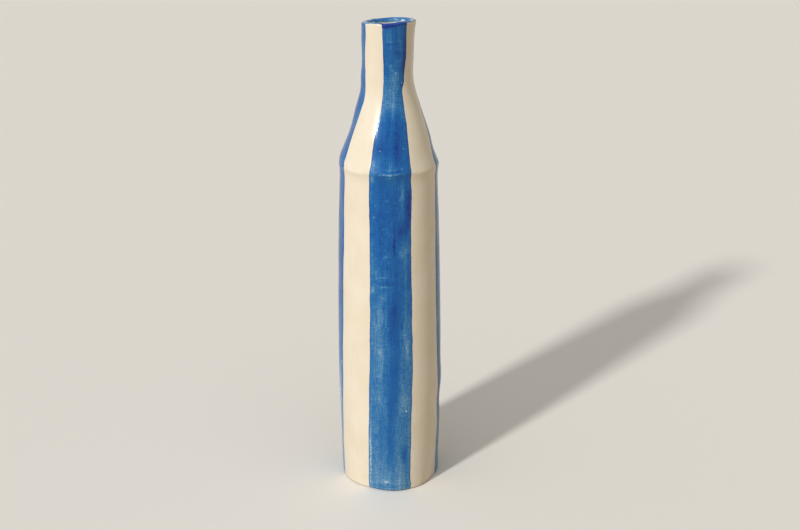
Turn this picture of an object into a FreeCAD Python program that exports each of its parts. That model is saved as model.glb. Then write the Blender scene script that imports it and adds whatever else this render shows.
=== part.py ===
import FreeCAD, Part
import os

import Sketcher
from FreeCAD import Vector

# A bottle vase built by hand from rolled clay, painted with four broad stripes and glazed.
# It stands on the XY plane with its axis on +Z, and its front faces -Y. Lengths are in
# millimetres, and radii are to the outside of the clay.
SIZES = {
    "foot_radius": 31.5,
    "foot_rounding": 1.5,
    "floor_thickness": 5.0,
    "wall_height": 208.6,
    "belly_radius": 33.3,
    "waist_radius": 30.2,
    "seam_radius": 31.3,
    "seam_flare_height": 5.0,
    "cone_height": 43.9,
    "neck_foot_radius": 16.9,
    "neck_radius": 15.6,
    "neck_length": 42.5,
    "mouth_radius": 16.3,
    "mouth_rise": 1.9,
    "wall": 4.0,
    "neck_wall": 3.2,
    "lip_rounding": 1.2,
    "floor_coil": 4.0,
    "shoulder_coil": 2.5,
    "shoulder_coil_height": 9.0,
    "paint": 0.3,
    "paint_gap": 0.1,
    "stripe_foot_gap": 0.5,
    "lip_band_depth": 1.8,
}

# Where the belly is widest up the wall, and where the neck is narrowest up its own length.
SHARES = {
    "belly_height_share": 0.333,
    "narrowest_neck_share": 0.39,
}

# Angles in degrees about the axis, measured from the front towards the right.
ANGLES = {
    "stripe_angle": 50.0,
    "front_stripe_angle": 1.7,
}

STRIPES = ["front_stripe", "right_stripe", "back_stripe", "left_stripe"]
FULL_TURN = 360
FRONT_ANGLE = -90
SHEET = "Sizes"
ORIGIN = (-1, 1)
CENTRE = 3

# How an edge of a section runs: straight, or curved and upright at its first or its last corner.
STRAIGHT, UPRIGHT_FIRST, UPRIGHT_LAST = "straight", "upright first", "upright last"
TURNED_ROUND = {STRAIGHT: STRAIGHT, UPRIGHT_FIRST: UPRIGHT_LAST, UPRIGHT_LAST: UPRIGHT_FIRST}

# Heights above the resting face, each worked out from the pieces below it.
FLOOR_TOP = f"{SHEET}.floor_thickness"
BELLY = f"({FLOOR_TOP} + {SHEET}.wall_height * {SHEET}.belly_height_share)"
SEAM = f"({FLOOR_TOP} + {SHEET}.wall_height)"
WAIST = f"({SEAM} - {SHEET}.seam_flare_height)"
NECK_FOOT = f"({SEAM} + {SHEET}.cone_height)"
NECK = f"({NECK_FOOT} + {SHEET}.neck_length * {SHEET}.narrowest_neck_share)"
MOUTH = f"({NECK_FOOT} + {SHEET}.neck_length)"

# How far the paint's outer face stands off the clay.
PAINT_FACE = f"({SHEET}.paint_gap + {SHEET}.paint)"


def size(name):
    """The expression that reads one named size from the sheet."""
    return f"{SHEET}.{name}"


def make_sheet(doc):
    """The sheet that holds every driving size, one row each."""
    sheet = doc.addObject("Spreadsheet::Sheet", SHEET)
    for row, (name, value) in enumerate({**SIZES, **SHARES, **ANGLES}.items(), start=1):
        sheet.set(f"A{row}", name)
        sheet.set(f"B{row}", str(value))
        sheet.setAlias(f"B{row}", name)
    doc.recompute()
    return sheet


def make_body(doc, name):
    body = doc.addObject("PartDesign::Body", name)
    body.Label = name
    return body


def attach(body, sketch, role):
    """Attaches a sketch to one of its own body's origin planes."""
    plane = next(item for item in body.Origin.OriginFeatures if item.Role == role)
    sketch.AttachmentSupport = (plane, [""])
    sketch.MapMode = "FlatFace"


def spline(first, control, last):
    """A quadratic curve from first to last, drawn towards one control point."""
    curve = Part.BSplineCurve()
    curve.buildFromPolesMultsKnots([first, control, last], [3, 3], [0, 1], False, 2)
    return curve


def end_nearest(sketch, edge, point):
    """Which end of a sketch edge, 1 or 2, lies at the point."""
    gaps = {end: (sketch.getPoint(edge, end) - point).Length for end in (1, 2)}
    return min(gaps, key=gaps.get)


def bind(sketch, edge, end, corner, label):
    """Ties one point of a sketch to a radius and a height on the sheet."""
    point = sketch.getPoint(edge, end)
    for kind, value, expression in (
        ("DistanceX", point.x, corner[0]),
        ("DistanceY", point.y, corner[1]),
    ):
        row = sketch.addConstraint(Sketcher.Constraint(kind, *ORIGIN, edge, end, value))
        sketch.renameConstraint(row, f"{label}_{kind}")
        sketch.setExpression(f"Constraints.{label}_{kind}", expression)


def section(body, name, corners):
    """A closed section on the XZ plane. Each corner is a radius, a height and the kind of the edge
    that leaves it. A curved edge stands upright at one of its ends, halfway to which its control
    point lies."""
    sketch = body.newObject("Sketcher::SketchObject", name)
    attach(body, sketch, "XZ_Plane")
    sheet = body.Document.getObject(SHEET)
    points = [Vector(sheet.evalExpression(c[0]), sheet.evalExpression(c[1]), 0) for c in corners]
    edges = []
    controls = {}
    for place, (radius, height, kind) in enumerate(corners):
        after = (place + 1) % len(corners)
        if kind == STRAIGHT:
            edges.append(sketch.addGeometry(Part.LineSegment(points[place], points[after]), False))
            continue
        upright = radius if kind == UPRIGHT_FIRST else corners[after][0]
        controls[place] = (upright, f"(({height}) + ({corners[after][1]})) / 2")
        control = Vector(*[sheet.evalExpression(value) for value in controls[place]], 0)
        curve = spline(points[place], control, points[after])
        edges.append(sketch.addGeometry(curve, False))
    for place, corner in enumerate(corners):
        start = end_nearest(sketch, edges[place], points[place])
        finish = end_nearest(sketch, edges[place - 1], points[place])
        joint = Sketcher.Constraint("Coincident", edges[place - 1], finish, edges[place], start)
        sketch.addConstraint(joint)
        bind(sketch, edges[place], start, corner, f"corner_{place}")
    for place, control in controls.items():
        first_pole = sketch.GeometryCount
        sketch.exposeInternalGeometry(edges[place])
        bind(sketch, first_pole + 1, CENTRE, control, f"control_{place}")
    return sketch


def revolve(body, sketch):
    """Turns a section once round the vase's axis."""
    turned = body.newObject("PartDesign::Revolution", f"{body.Name}_turned")
    turned.Profile = sketch
    turned.ReferenceAxis = (sketch, ["V_Axis"])
    turned.Angle = FULL_TURN
    body.Document.recompute()
    return turned


def outside(grow="0"):
    """Corners of the outer side, from the top of the floor slab to the mouth, set out by grow."""
    return [
        (f"{size('foot_radius')} + {grow}", FLOOR_TOP, UPRIGHT_LAST),
        (f"{size('belly_radius')} + {grow}", BELLY, UPRIGHT_FIRST),
        (f"{size('waist_radius')} + {grow}", WAIST, STRAIGHT),
        (f"{size('seam_radius')} + {grow}", SEAM, STRAIGHT),
        (f"{size('neck_foot_radius')} + {grow}", NECK_FOOT, UPRIGHT_LAST),
        (f"{size('neck_radius')} + {grow}", NECK, UPRIGHT_FIRST),
        (f"{size('mouth_radius')} + {grow}", f"{MOUTH} + {size('mouth_rise')}", STRAIGHT),
    ]


def closed(outer, inner):
    """A ring of corners: up the outer side, straight across, and back down the inner side."""
    up = outer[:-1] + [(*outer[-1][:2], STRAIGHT)]
    kinds = [TURNED_ROUND[corner[2]] for corner in reversed(inner[:-1])] + [STRAIGHT]
    down = [(*corner[:2], kind) for corner, kind in zip(reversed(inner), kinds)]
    return up + down


def cut_above(body, name, lift, keep_below=True):
    """Cuts a body along the tilted plane of the mouth, moved up by lift, and keeps one side."""
    reach = f"2 * {size('mouth_radius')}"
    level = f"{MOUTH} + {lift}"
    far = f"{level} + {size('mouth_radius')}" if keep_below else SEAM
    rise = size("mouth_rise")
    corners = [
        (f"-{reach}", f"{level} - {rise}", STRAIGHT),
        (reach, f"{level} + {rise}", STRAIGHT),
        (reach, far, STRAIGHT),
        (f"-{reach}", far, STRAIGHT),
    ]
    sketch = section(body, name, corners)
    pocket = body.newObject("PartDesign::Pocket", f"{name}_cut")
    pocket.Profile = sketch
    pocket.Type = "ThroughAll"
    pocket.Midplane = True
    body.Document.recompute()
    return pocket


def round_lip(body, feature, grow):
    """Rounds the two edges of the mouth, which are the highest edges of the collar."""
    sheet = body.Document.getObject(SHEET)
    lowest = sheet.evalExpression(f"{MOUTH} - {size('mouth_rise')}")
    names = [
        f"Edge{number}"
        for number, edge in enumerate(feature.Shape.Edges, start=1)
        if edge.BoundBox.ZMin > lowest
    ]
    rounded = body.newObject("PartDesign::Fillet", f"{body.Name}_lip")
    rounded.Base = (feature, names)
    rounded.setExpression("Radius", f"{size('lip_rounding')} + {grow}")
    body.Document.recompute()
    return rounded


def floor_slab(doc):
    """Flat round slab that closes the bottom, with its lower edge rubbed round."""
    body = make_body(doc, "floor_slab")
    sketch = body.newObject("Sketcher::SketchObject", "floor_outline")
    attach(body, sketch, "XY_Plane")
    circle = sketch.addGeometry(Part.Circle(Vector(), Vector(0, 0, 1), SIZES["foot_radius"]), False)
    sketch.addConstraint(Sketcher.Constraint("Coincident", circle, CENTRE, *ORIGIN))
    row = sketch.addConstraint(Sketcher.Constraint("Radius", circle, SIZES["foot_radius"]))
    sketch.renameConstraint(row, "radius")
    sketch.setExpression("Constraints.radius", size("foot_radius"))
    slab = body.newObject("PartDesign::Pad", "floor_pad")
    slab.Profile = sketch
    slab.setExpression("Length", size("floor_thickness"))
    doc.recompute()
    lower = [
        f"Edge{number}"
        for number, edge in enumerate(slab.Shape.Edges, start=1)
        if edge.BoundBox.ZMax < SIZES["foot_rounding"]
    ]
    rubbed = body.newObject("PartDesign::Fillet", "floor_rounding")
    rubbed.Base = (slab, lower)
    rubbed.setExpression("Radius", size("foot_rounding"))
    return body


def body_wall(doc):
    """Rolled slab that makes the tall body, from the floor slab to the shoulder seam."""
    body = make_body(doc, "body_wall")
    outer = outside()[:4]
    inner = outside(f"0 - {size('wall')}")[:4]
    revolve(body, section(body, "wall_section", closed(outer, inner)))
    return body


def shoulder_cone(doc):
    """Cone-shaped slab that carries the neck on the body."""
    body = make_body(doc, "shoulder_cone")
    outer = outside()[3:5]
    inner = outside(f"0 - {size('wall')}")[3:5]
    revolve(body, section(body, "cone_section", closed(outer, inner)))
    return body


def neck_blank(doc, name, grow):
    """Collar from the cone to the mouth, set out by grow on both sides and on its tilted top."""
    body = make_body(doc, name)
    outer = outside(grow)[4:]
    foot, waist, mouth = outer
    inner = [
        (f"{size('neck_foot_radius')} - {size('wall')} - {grow}", foot[1], foot[2]),
        (f"{size('neck_radius')} - {size('neck_wall')} - {grow}", waist[1], waist[2]),
        (f"{size('mouth_radius')} - {size('neck_wall')} - {grow}", mouth[1], mouth[2]),
    ]
    revolve(body, section(body, f"{name}_section", closed(outer, inner)))
    trimmed = cut_above(body, f"{name}_mouth", grow)
    round_lip(body, trimmed, grow)
    return body


def joined_clay(doc, parts):
    """The clay pieces as one, for cutting whatever lies against them to their shape."""
    clay = doc.addObject("Part::MultiFuse", "joined_clay")
    clay.Shapes = parts
    return clay


def laid_on(doc, name, blank, clay):
    """What is left of a blank outside the clay, so that it lies against the clay's own faces."""
    piece = doc.addObject("Part::Cut", name)
    piece.Base = blank
    piece.Tool = clay
    piece.Label = name
    return piece


def floor_seam_coil(doc, clay):
    """Coil pressed into the corner of the floor and the wall."""
    coil = size("floor_coil")
    corner = f"{size('foot_radius')} - {size('wall')}"
    middle = f"{corner} + {size('wall')} / 2"
    inside_floor = f"{FLOOR_TOP} / 2"
    corners = [
        (middle, inside_floor, STRAIGHT),
        (middle, f"{FLOOR_TOP} + {coil}", STRAIGHT),
        (corner, f"{FLOOR_TOP} + {coil}", UPRIGHT_LAST),
        (f"{corner} - {coil}", FLOOR_TOP, STRAIGHT),
        (f"{corner} - {coil}", inside_floor, STRAIGHT),
    ]
    blank = make_body(doc, "floor_coil_blank")
    revolve(blank, section(blank, "floor_coil_section", corners))
    return laid_on(doc, "floor_seam_coil", blank, clay)


def shoulder_seam_coil(doc, clay):
    """Flattened coil pressed across the joint of the wall and the cone."""
    half = f"{size('shoulder_coil_height')} / 2"
    seam = size("seam_radius")
    flare = f"({size('waist_radius')} - {seam}) / {size('seam_flare_height')}"
    slope = f"({size('neck_foot_radius')} - {seam}) / {size('cone_height')}"
    low = f"({seam} + {flare} * {half} - {size('wall')})"
    middle = f"({seam} - {size('wall')})"
    high = f"({seam} + {slope} * {half} - {size('wall')})"
    inside_clay = f"{size('wall')} / 2"
    coil = size("shoulder_coil")
    edge = f"{coil} / 4"
    corners = [
        (f"{low} + {inside_clay}", f"{SEAM} - {half}", STRAIGHT),
        (f"{middle} + {inside_clay}", SEAM, STRAIGHT),
        (f"{high} + {inside_clay}", f"{SEAM} + {half}", STRAIGHT),
        (f"{high} - {edge}", f"{SEAM} + {half}", UPRIGHT_LAST),
        (f"{middle} - {coil}", SEAM, UPRIGHT_FIRST),
        (f"{low} - {edge}", f"{SEAM} - {half}", STRAIGHT),
    ]
    blank = make_body(doc, "shoulder_coil_blank")
    revolve(blank, section(blank, "shoulder_coil_section", corners))
    return laid_on(doc, "shoulder_seam_coil", blank, clay)


def paint_sleeve(doc):
    """Thin sleeve of paint over the whole outside, up to the lower edge of the lip band. It stands
    a hair off the clay, so that their curved faces don't cut into each other."""
    skin = outside(PAINT_FACE)
    back = outside(size("paint_gap"))
    foot = f"{size('foot_rounding')} + {size('stripe_foot_gap')}"
    skin = [(skin[0][0], foot, STRAIGHT)] + skin
    back = [(back[0][0], foot, STRAIGHT)] + back
    sleeve = make_body(doc, "paint_sleeve")
    revolve(sleeve, section(sleeve, "sleeve_section", closed(skin, back)))
    cut_above(sleeve, "sleeve_top", f"0 - {size('lip_band_depth')}")
    return sleeve


def stripe(doc, name, place, sleeve):
    """One stripe: the sector of the paint sleeve at its place round the vase."""
    sector = doc.addObject("Part::Cylinder", f"{name}_sector")
    sector.setExpression("Radius", f"2 * {size('belly_radius')}")
    sector.setExpression("Height", f"{MOUTH} + {size('mouth_radius')}")
    sector.setExpression("Angle", f"{size('stripe_angle')} * 1 deg")
    turn = f"{FRONT_ANGLE} + {size('front_stripe_angle')} - {size('stripe_angle')} / 2"
    step = FULL_TURN / len(STRIPES) * place
    sector.Placement = FreeCAD.Placement(Vector(), FreeCAD.Rotation(Vector(0, 0, 1), 0))
    sector.setExpression("Placement.Rotation.Angle", f"({turn} + {step}) * 1 deg")
    piece = doc.addObject("Part::Common", name)
    piece.Base = sleeve
    piece.Tool = sector
    piece.Label = name
    return piece


def lip_band(doc):
    """Band of paint over the lip: the collar set out by the paint and its gap, less the collar set
    out by the gap alone."""
    blank = neck_blank(doc, "lip_blank", PAINT_FACE)
    cut_above(blank, "band_foot", f"0 - {size('lip_band_depth')}", keep_below=False)
    return laid_on(doc, "lip_band", blank, neck_blank(doc, "lip_core", size("paint_gap")))


def main():
    doc = FreeCAD.newDocument("bottle_vase")
    make_sheet(doc)
    pieces = [floor_slab(doc), body_wall(doc), shoulder_cone(doc), neck_blank(doc, "neck_collar", "0")]
    clay = joined_clay(doc, list(pieces))
    pieces += [floor_seam_coil(doc, clay), shoulder_seam_coil(doc, clay), lip_band(doc)]
    sleeve = paint_sleeve(doc)
    pieces += [stripe(doc, name, place, sleeve) for place, name in enumerate(STRIPES)]
    doc.recompute()
    for item in doc.Objects:
        if "Invalid" in item.State or "Error" in item.State:
            raise RuntimeError(f"{item.Label} did not build: {item.State}")
    for piece in pieces:
        shape = piece.Shape
        if shape.isNull() or not shape.isValid() or len(shape.Solids) != 1:
            raise RuntimeError(f"{piece.Label} is not one valid solid")
    os.makedirs("parts", exist_ok=True)
    for piece in pieces:
        piece.Shape.exportStep(f"parts/{piece.Label}.step")
        box = piece.Shape.BoundBox
        print(f"{piece.Label}: {piece.Shape.Volume:.0f} mm3, {box.ZMin:.1f} to {box.ZMax:.1f} mm high")


main()
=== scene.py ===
"""A bottle vase, built by hand from rolled clay, brushed with cobalt stripes and glazed.

Lengths are in millimetres and angles in degrees, unless a name says otherwise. Angles run round the
vase's axis from the front, which faces -Y, towards the right, which is +X. Meshes are made in metres,
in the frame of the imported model.
"""

import logging
import math
from collections.abc import Sequence
from dataclasses import dataclass
from enum import Enum

import bmesh
import bpy
import numpy as np
from mathutils import Matrix, Vector
from numpy.typing import NDArray


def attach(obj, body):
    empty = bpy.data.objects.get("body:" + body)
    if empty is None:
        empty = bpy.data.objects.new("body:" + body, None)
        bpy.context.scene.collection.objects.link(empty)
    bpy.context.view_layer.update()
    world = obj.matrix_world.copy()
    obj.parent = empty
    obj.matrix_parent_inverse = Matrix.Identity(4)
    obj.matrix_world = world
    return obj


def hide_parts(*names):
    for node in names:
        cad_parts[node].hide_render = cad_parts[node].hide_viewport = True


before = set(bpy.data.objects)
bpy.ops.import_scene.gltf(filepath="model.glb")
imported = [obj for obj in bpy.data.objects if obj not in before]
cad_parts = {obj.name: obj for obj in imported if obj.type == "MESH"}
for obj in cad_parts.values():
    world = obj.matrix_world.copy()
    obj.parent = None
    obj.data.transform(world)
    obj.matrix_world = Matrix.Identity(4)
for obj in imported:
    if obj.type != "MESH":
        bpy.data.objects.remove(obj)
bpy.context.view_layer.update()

Floats = NDArray[np.float64]
Quads = NDArray[np.int64]
Pair = tuple[float, float]
Triple = tuple[float, float, float]
Places = Sequence[Pair]
Stops = Sequence[tuple[float, str]]
Rows = Sequence[tuple[float, ...]]
Tree = bpy.types.NodeTree
Socket = bpy.types.NodeSocket
Thing = bpy.types.Object

MM = 0.001
TURN = 360.0
PAINT = "paint"
BRUSH_MAP = "brush"
NOISE_SIDE = 251

log = logging.getLogger("bottle_vase")


class Slot(Enum):
    """The record's material slots."""

    GLAZED_CLAY = "glazed_clay"
    BARE_FOOT = "bare_foot_clay"
    COBALT = "cobalt_underglaze"


# Curves and noise


def linear_colour(hex_code: str) -> tuple[float, float, float, float]:
    """Turns an sRGB hex value into linear colour.

    Args:
        hex_code: Six hex digits after a hash sign.

    Returns:
        Red, green, blue and an alpha of one.
    """
    shares = [int(hex_code[i : i + 2], 16) / 255 for i in (1, 3, 5)]
    linear = [s / 12.92 if s <= 0.04045 else ((s + 0.055) / 1.055) ** 2.4 for s in shares]
    return (*linear, 1.0)


def per_mm(feature: float) -> float:
    """The noise scale, per metre, whose features are about that many millimetres across."""
    return 1 / (feature * MM)


def soft_max(first: Floats, second: Floats, blend: float) -> Floats:
    """The larger of two curves; where they differ by less than the blend, a parabola is added."""
    near = np.clip(1 - np.abs(first - second) / blend, 0, 1)
    return np.maximum(first, second) + near**2 * blend / 4


def soft_min(first: Floats, second: Floats, blend: float) -> Floats:
    """The smaller of two curves, with the corner rubbed round, as soft_max does for the larger."""
    return -soft_max(-first, -second, blend)


def smooth_step(value: Floats, low: float, high: float) -> Floats:
    """Rises from 0 at low to 1 at high, level at both ends: 3t^2 - 2t^3."""
    share = np.clip((value - low) / (high - low), 0, 1)
    return share * share * (3 - 2 * share)


def smooth_curve(at: Floats, places: Places, period: float = 0.0) -> Floats:
    """A smooth curve through a few places: cubic spans whose slopes follow their neighbours.

    A slope is at most three times that of the flatter neighbouring chord, and level at a crest, so
    the curve never swings past its places.

    Args:
        at: Where the curve is wanted.
        places: Pairs of position and value, in rising order.
        period: The length after which the curve repeats, or zero for one that ends.

    Returns:
        The curve's value at each position.
    """
    knots = np.array(places, float)
    if period:
        turn = np.array([period, 0.0])
        at = (at - knots[0, 0]) % period + knots[0, 0]
        knots = np.vstack([knots[-2:] - turn, knots, knots[:2] + turn])
    else:
        at = np.clip(at, knots[0, 0], knots[-1, 0])
    slopes = np.gradient(knots[:, 1], knots[:, 0])
    secants = np.diff(knots[:, 1]) / np.diff(knots[:, 0])
    steepest = 3 * np.minimum(np.abs(secants[:-1]), np.abs(secants[1:]))
    one_way = secants[:-1] * secants[1:] > 0
    slopes[1:-1] = np.where(one_way, np.clip(slopes[1:-1], -steepest, steepest), 0.0)
    span = np.clip(np.searchsorted(knots[:, 0], at, side="right") - 1, 0, len(knots) - 2)
    length = knots[span + 1, 0] - knots[span, 0]
    t = (at - knots[span, 0]) / length
    start = (2 * t**3 - 3 * t**2 + 1) * knots[span, 1] + (t**3 - 2 * t**2 + t) * length * slopes[span]
    finish = (3 * t**2 - 2 * t**3) * knots[span + 1, 1] + (t**3 - t**2) * length * slopes[span + 1]
    return start + finish


def grain(across: Floats, along: Floats, width: float, length: float, seed: int) -> Floats:
    """A smooth random field from -1 to 1 on a flat sheet.

    Random values stand on a grid of cells, and a smooth step blends each cell's four corners.

    Args:
        across: Position across the sheet.
        along: Position along the sheet.
        width: Width of a cell.
        length: Length of a cell.
        seed: Seed of the random values.

    Returns:
        The field at each position.
    """
    table = np.random.default_rng(seed).uniform(-1, 1, (NOISE_SIDE, NOISE_SIDE))
    u, v = across / width, along / length
    column, row = np.floor(u).astype(int), np.floor(v).astype(int)
    s, t = smooth_step(u - column, 0, 1), smooth_step(v - row, 0, 1)
    columns = column % NOISE_SIDE, (column + 1) % NOISE_SIDE
    low, high = (
        table[line % NOISE_SIDE, columns[0]] * (1 - s) + table[line % NOISE_SIDE, columns[1]] * s
        for line in (row, row + 1)
    )
    return low * (1 - t) + high * t


def grained(across: Floats, along: Floats, layers: Rows, shift: int = 0) -> Floats:
    """Adds up random fields, each with an amount, a cell's width and length, and a seed to shift."""
    return sum(row[0] * grain(across, along, row[1], row[2], row[3] + shift) for row in layers)


def turn_gap(angle: Floats, centre: float) -> Floats:
    """The shortest way round from an angle to the centre, from -180 to 180 degrees."""
    return (angle - centre + TURN / 2) % TURN - TURN / 2


@dataclass(frozen=True)
class Bell:
    """A place where there is more of something, clay or paint, or less if the amount is negative."""

    place: float
    height: float
    half_width: float
    half_height: float
    amount: float

    def at(self, across: Floats, up: Floats) -> Floats:
        """What the place adds at a distance from it: its amount times a bell across and up."""
        return self.amount * np.exp(-((across / self.half_width) ** 2) - (up / self.half_height) ** 2)


# The vase's form


def straight(height: Floats, first: Pair, second: Pair) -> Floats:
    """The radius on the straight line through two places, each a height and a radius."""
    return first[1] + (second[1] - first[1]) * (height - first[0]) / (second[0] - first[0])


def arched(height: Floats, crest: Pair, other: Pair) -> Floats:
    """The radius on the parabola that stands upright at its crest and runs through another place."""
    return crest[1] + (other[1] - crest[1]) * ((height - crest[0]) / (other[0] - crest[0])) ** 2


@dataclass(frozen=True)
class VesselForm:
    """The form that every surface of the vase shares: outside, inside, seam and mouth."""

    foot_radius: float = 31.5
    foot_rounding: float = 1.5
    floor_thickness: float = 5.0
    belly_radius: float = 33.3
    belly_height: float = 74.5
    waist_radius: float = 30.2
    seam_radius: float = 31.3
    seam_height: float = 213.6
    flare_height: float = 5.0
    neck_foot_radius: float = 16.9
    neck_foot_height: float = 257.5
    neck_radius: float = 15.6
    neck_height: float = 274.1
    mouth_radius: float = 16.3
    profile_top: float = 301.9
    wall: float = 4.0
    neck_wall: float = 3.2
    lip_height: float = 1.2
    widest: float = 33.55
    widest_round: float = 0.3
    ridge_round: float = 0.5
    waist_round: float = 0.9
    neck_round: float = 1.3
    # the height, the length from crest to crest and the seed of the burr
    burr: Triple = (0.15, 7.0, 5)
    burr_half_height: float = 1.7
    lump_slope: float = 0.0008
    seam_reach: float = 13.0
    # each row is one Bell, whose place is an angle
    swells: Rows = (
        # the left side, from the mouth down
        (-90, 299, 55, 8, -0.6), (-90, 267.5, 50, 6, 0.5), (-90, 258, 45, 5, -0.2),
        (-90, 236, 45, 10, -0.85), (-90, 219, 40, 4, 0.3), (-90, 213, 40, 3, -0.6),
        (-90, 195, 40, 25, -0.15), (-90, 8, 45, 22, 0.5),
        # the right side, from the mouth down
        (90, 302, 40, 7, 0.4), (90, 290, 40, 6, -0.2), (90, 266, 50, 12, -0.7), (90, 240, 45, 8, -0.15),
        (90, 222, 40, 7.5, -0.9), (90, 193, 40, 14, -0.35), (90, 130, 40, 45, -0.3),
        (88, 71, 35, 6, 0.4), (88, 54, 35, 9, -0.7), (88, 1, 20, 12, 0.7),
        # the bulge of the cone that catches the lamp
        (-20, 233.8, 32, 8.2, 0.84),
        # the foot, out of round at the front, and the flat front-left of the mouth
        (62, 0, 14, 14, -0.7), (38, 0, 18, 22, 0.5), (9, 0, 14, 22, 0.8), (-27, 0, 16, 24, -0.9),
        (-38, 300, 20, 10, -0.35), (150, 300, 35, 12, 0.3), (205, 292, 40, 16, -0.4),
        # the back, which no photograph shows, as uneven as the rest
        (160, 226, 40, 9, 0.45), (215, 240, 45, 8, -0.4), (185, 120, 50, 30, -0.3),
        (150, 40, 45, 25, 0.25),
    )
    seam_wave: Places = (
        (-178, 0.2), (-150, -0.4), (-120, 0.4), (-90, 0.2), (-60, 0.0), (-38, -0.2), (-21, 0.6),
        (-13, 0.1), (-6, 0.3), (0, -0.1), (4, -0.15), (12, 0.4), (19, 0.6), (40, -0.2), (65, 0.2),
        (88, 0.2), (120, -0.6), (150, 0.3),
    )
    mouth_edge: Places = (
        (-171, 299.45), (-152, 299.35), (-132, 299.3), (-107, 299.05), (-90, 299.2), (-64, 299.4),
        (-39, 299.75), (-20, 300.0), (-8, 299.75), (5, 299.95), (16, 300.15), (39, 300.55),
        (60, 300.6), (90, 300.6), (110, 300.45), (129, 300.25), (153, 300.0), (173, 299.75),
    )
    # how many crests each wave of lumps has round the vase, and its length up the vase
    lump_waves: Places = (
        (2, 62), (3, 47), (4, 36), (5, 31), (6, 27), (3, 88), (7, 23), (2, 115), (5, 42), (4, 19),
        (9, 33), (1, 54),
    )
    lump_seed: int = 11

    def profile(self, height: Floats) -> Floats:
        """The true round's outer radius at a height.

        Below the seam the wall is two parabolas that meet upright at the belly, then a short flare
        out to the ridge. Above it a straight cone runs to the neck, which is two parabolas that meet
        upright at its narrowest, and below them their tangent. Corners are rubbed round.

        Args:
            height: Height above the resting face.

        Returns:
            The radius at each height.
        """
        foot = (self.floor_thickness, self.foot_radius)
        belly = (self.belly_height, self.belly_radius)
        waist = (self.seam_height - self.flare_height, self.waist_radius)
        seam = (self.seam_height, self.seam_radius)
        joint = (self.neck_foot_height, self.neck_foot_radius)
        neck = (self.neck_height, self.neck_radius)
        mouth = (self.profile_top, self.mouth_radius)
        wall = np.where(height < belly[0], arched(height, belly, foot), arched(height, belly, waist))
        collar = np.where(height < neck[0], arched(height, neck, joint), arched(height, neck, mouth))
        tangent = straight(height, joint, ((joint[0] + neck[0]) / 2, neck[1]))
        collar = np.where(height < joint[0], tangent, collar)
        lower = soft_max(wall, straight(height, seam, waist), self.waist_round)
        upper = soft_max(straight(height, seam, joint), collar, self.neck_round)
        return soft_min(lower, upper, self.ridge_round)

    def lumps(self, angle: Floats, height: Floats) -> Floats:
        """Low bumps left by the hands: waves with a whole number of crests round the vase.

        Args:
            angle: Angle round the axis.
            height: Height on the profile.

        Returns:
            How far the clay stands out at each place.
        """
        phases = np.random.default_rng(self.lump_seed).uniform(0, 2 * np.pi, (len(self.lump_waves), 2))
        total = np.zeros(np.broadcast(angle, height).shape)
        for (crests, length), (turn, rise) in zip(self.lump_waves, phases):
            around = np.cos(crests * np.radians(angle) + turn)
            total += self.lump_slope * length * (around * np.cos(2 * np.pi * height / length + rise))
        return total

    def seam_ripple(self, angle: Floats, amount: float, crest: float, seed: int) -> Floats:
        """A random ripple that runs once round the vase.

        Args:
            angle: Angle round the axis.
            amount: The ripple's height.
            crest: The length from crest to crest, measured along the seam.
            seed: Seed of the random heights.

        Returns:
            The ripple at each angle.
        """
        cells = round(np.radians(TURN) * self.seam_radius / crest)
        heights = np.random.default_rng(seed).uniform(-1, 1, cells)
        return amount * smooth_curve(angle, list(zip(np.arange(cells) * TURN / cells, heights)), TURN)

    def radius(self, angle: Floats, height: Floats) -> Floats:
        """The outer radius of the clay: profile, swells, lumps, and the burr along the seam.

        Args:
            angle: Angle round the axis.
            height: Height on the profile, before the seam's wave moves it.

        Returns:
            The radius at each place.
        """
        uneven = self.lumps(angle, height)
        for swell in (Bell(*row) for row in self.swells):
            uneven = uneven + swell.at(turn_gap(angle, swell.place), height - swell.height)
        from_seam = (height - self.seam_height) / self.burr_half_height
        burr = self.seam_ripple(angle, *self.burr) * np.exp(-(from_seam**2))
        rough = self.profile(height) + uneven + burr
        radius = soft_min(rough, np.float64(self.widest), self.widest_round)
        low = np.clip(self.foot_rounding - height, 0, self.foot_rounding)
        return radius - self.foot_rounding + np.sqrt(self.foot_rounding**2 - low**2)

    def lifted(self, angle: Floats, height: Floats) -> Floats:
        """The real height of a place on the profile, where the seam's wave has moved it."""
        near = np.exp(-(((height - self.seam_height) / self.seam_reach) ** 2))
        return height + smooth_curve(angle, self.seam_wave, TURN) * near

    def mouth(self, angle: Floats) -> Floats:
        """The height of the tilted, uneven mouth."""
        return smooth_curve(angle, self.mouth_edge, TURN)

    def thickness(self, height: Floats) -> Floats:
        """The wall's thickness, which thins from the cone up the neck."""
        thin = smooth_step(height, self.neck_foot_height, self.neck_height)
        return self.wall + (self.neck_wall - self.wall) * thin

    def place(self, angle: Floats, height: Floats, offset: Floats | float = 0.0) -> Floats:
        """Points on the outside, in metres, moved outwards by an offset."""
        return to_points(angle, self.radius(angle, height) + offset, self.lifted(angle, height))

    def inside(self, angle: Floats, height: Floats) -> Floats:
        """Points on the inner side of the wall, in metres."""
        return self.place(angle, height, -self.thickness(height))

    def lip(self, angle: Floats, turn: Floats, offset: Floats | float = 0.0) -> Floats:
        """Points over the rounded lip, a half ellipse that stands on the neck's wall.

        Args:
            angle: Angle round the axis.
            turn: Angle over the lip, from 0 at the outer side to 180 at the inner side.
            offset: Distance outwards from the clay.

        Returns:
            Points in metres.
        """
        shoulder = self.mouth(angle) - self.lip_height
        middle = self.radius(angle, shoulder) - self.neck_wall / 2
        reach = (self.neck_wall / 2 + offset) * np.cos(np.radians(turn))
        rise = (self.lip_height + offset) * np.sin(np.radians(turn))
        return to_points(angle, middle + reach, shoulder + rise)


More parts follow.
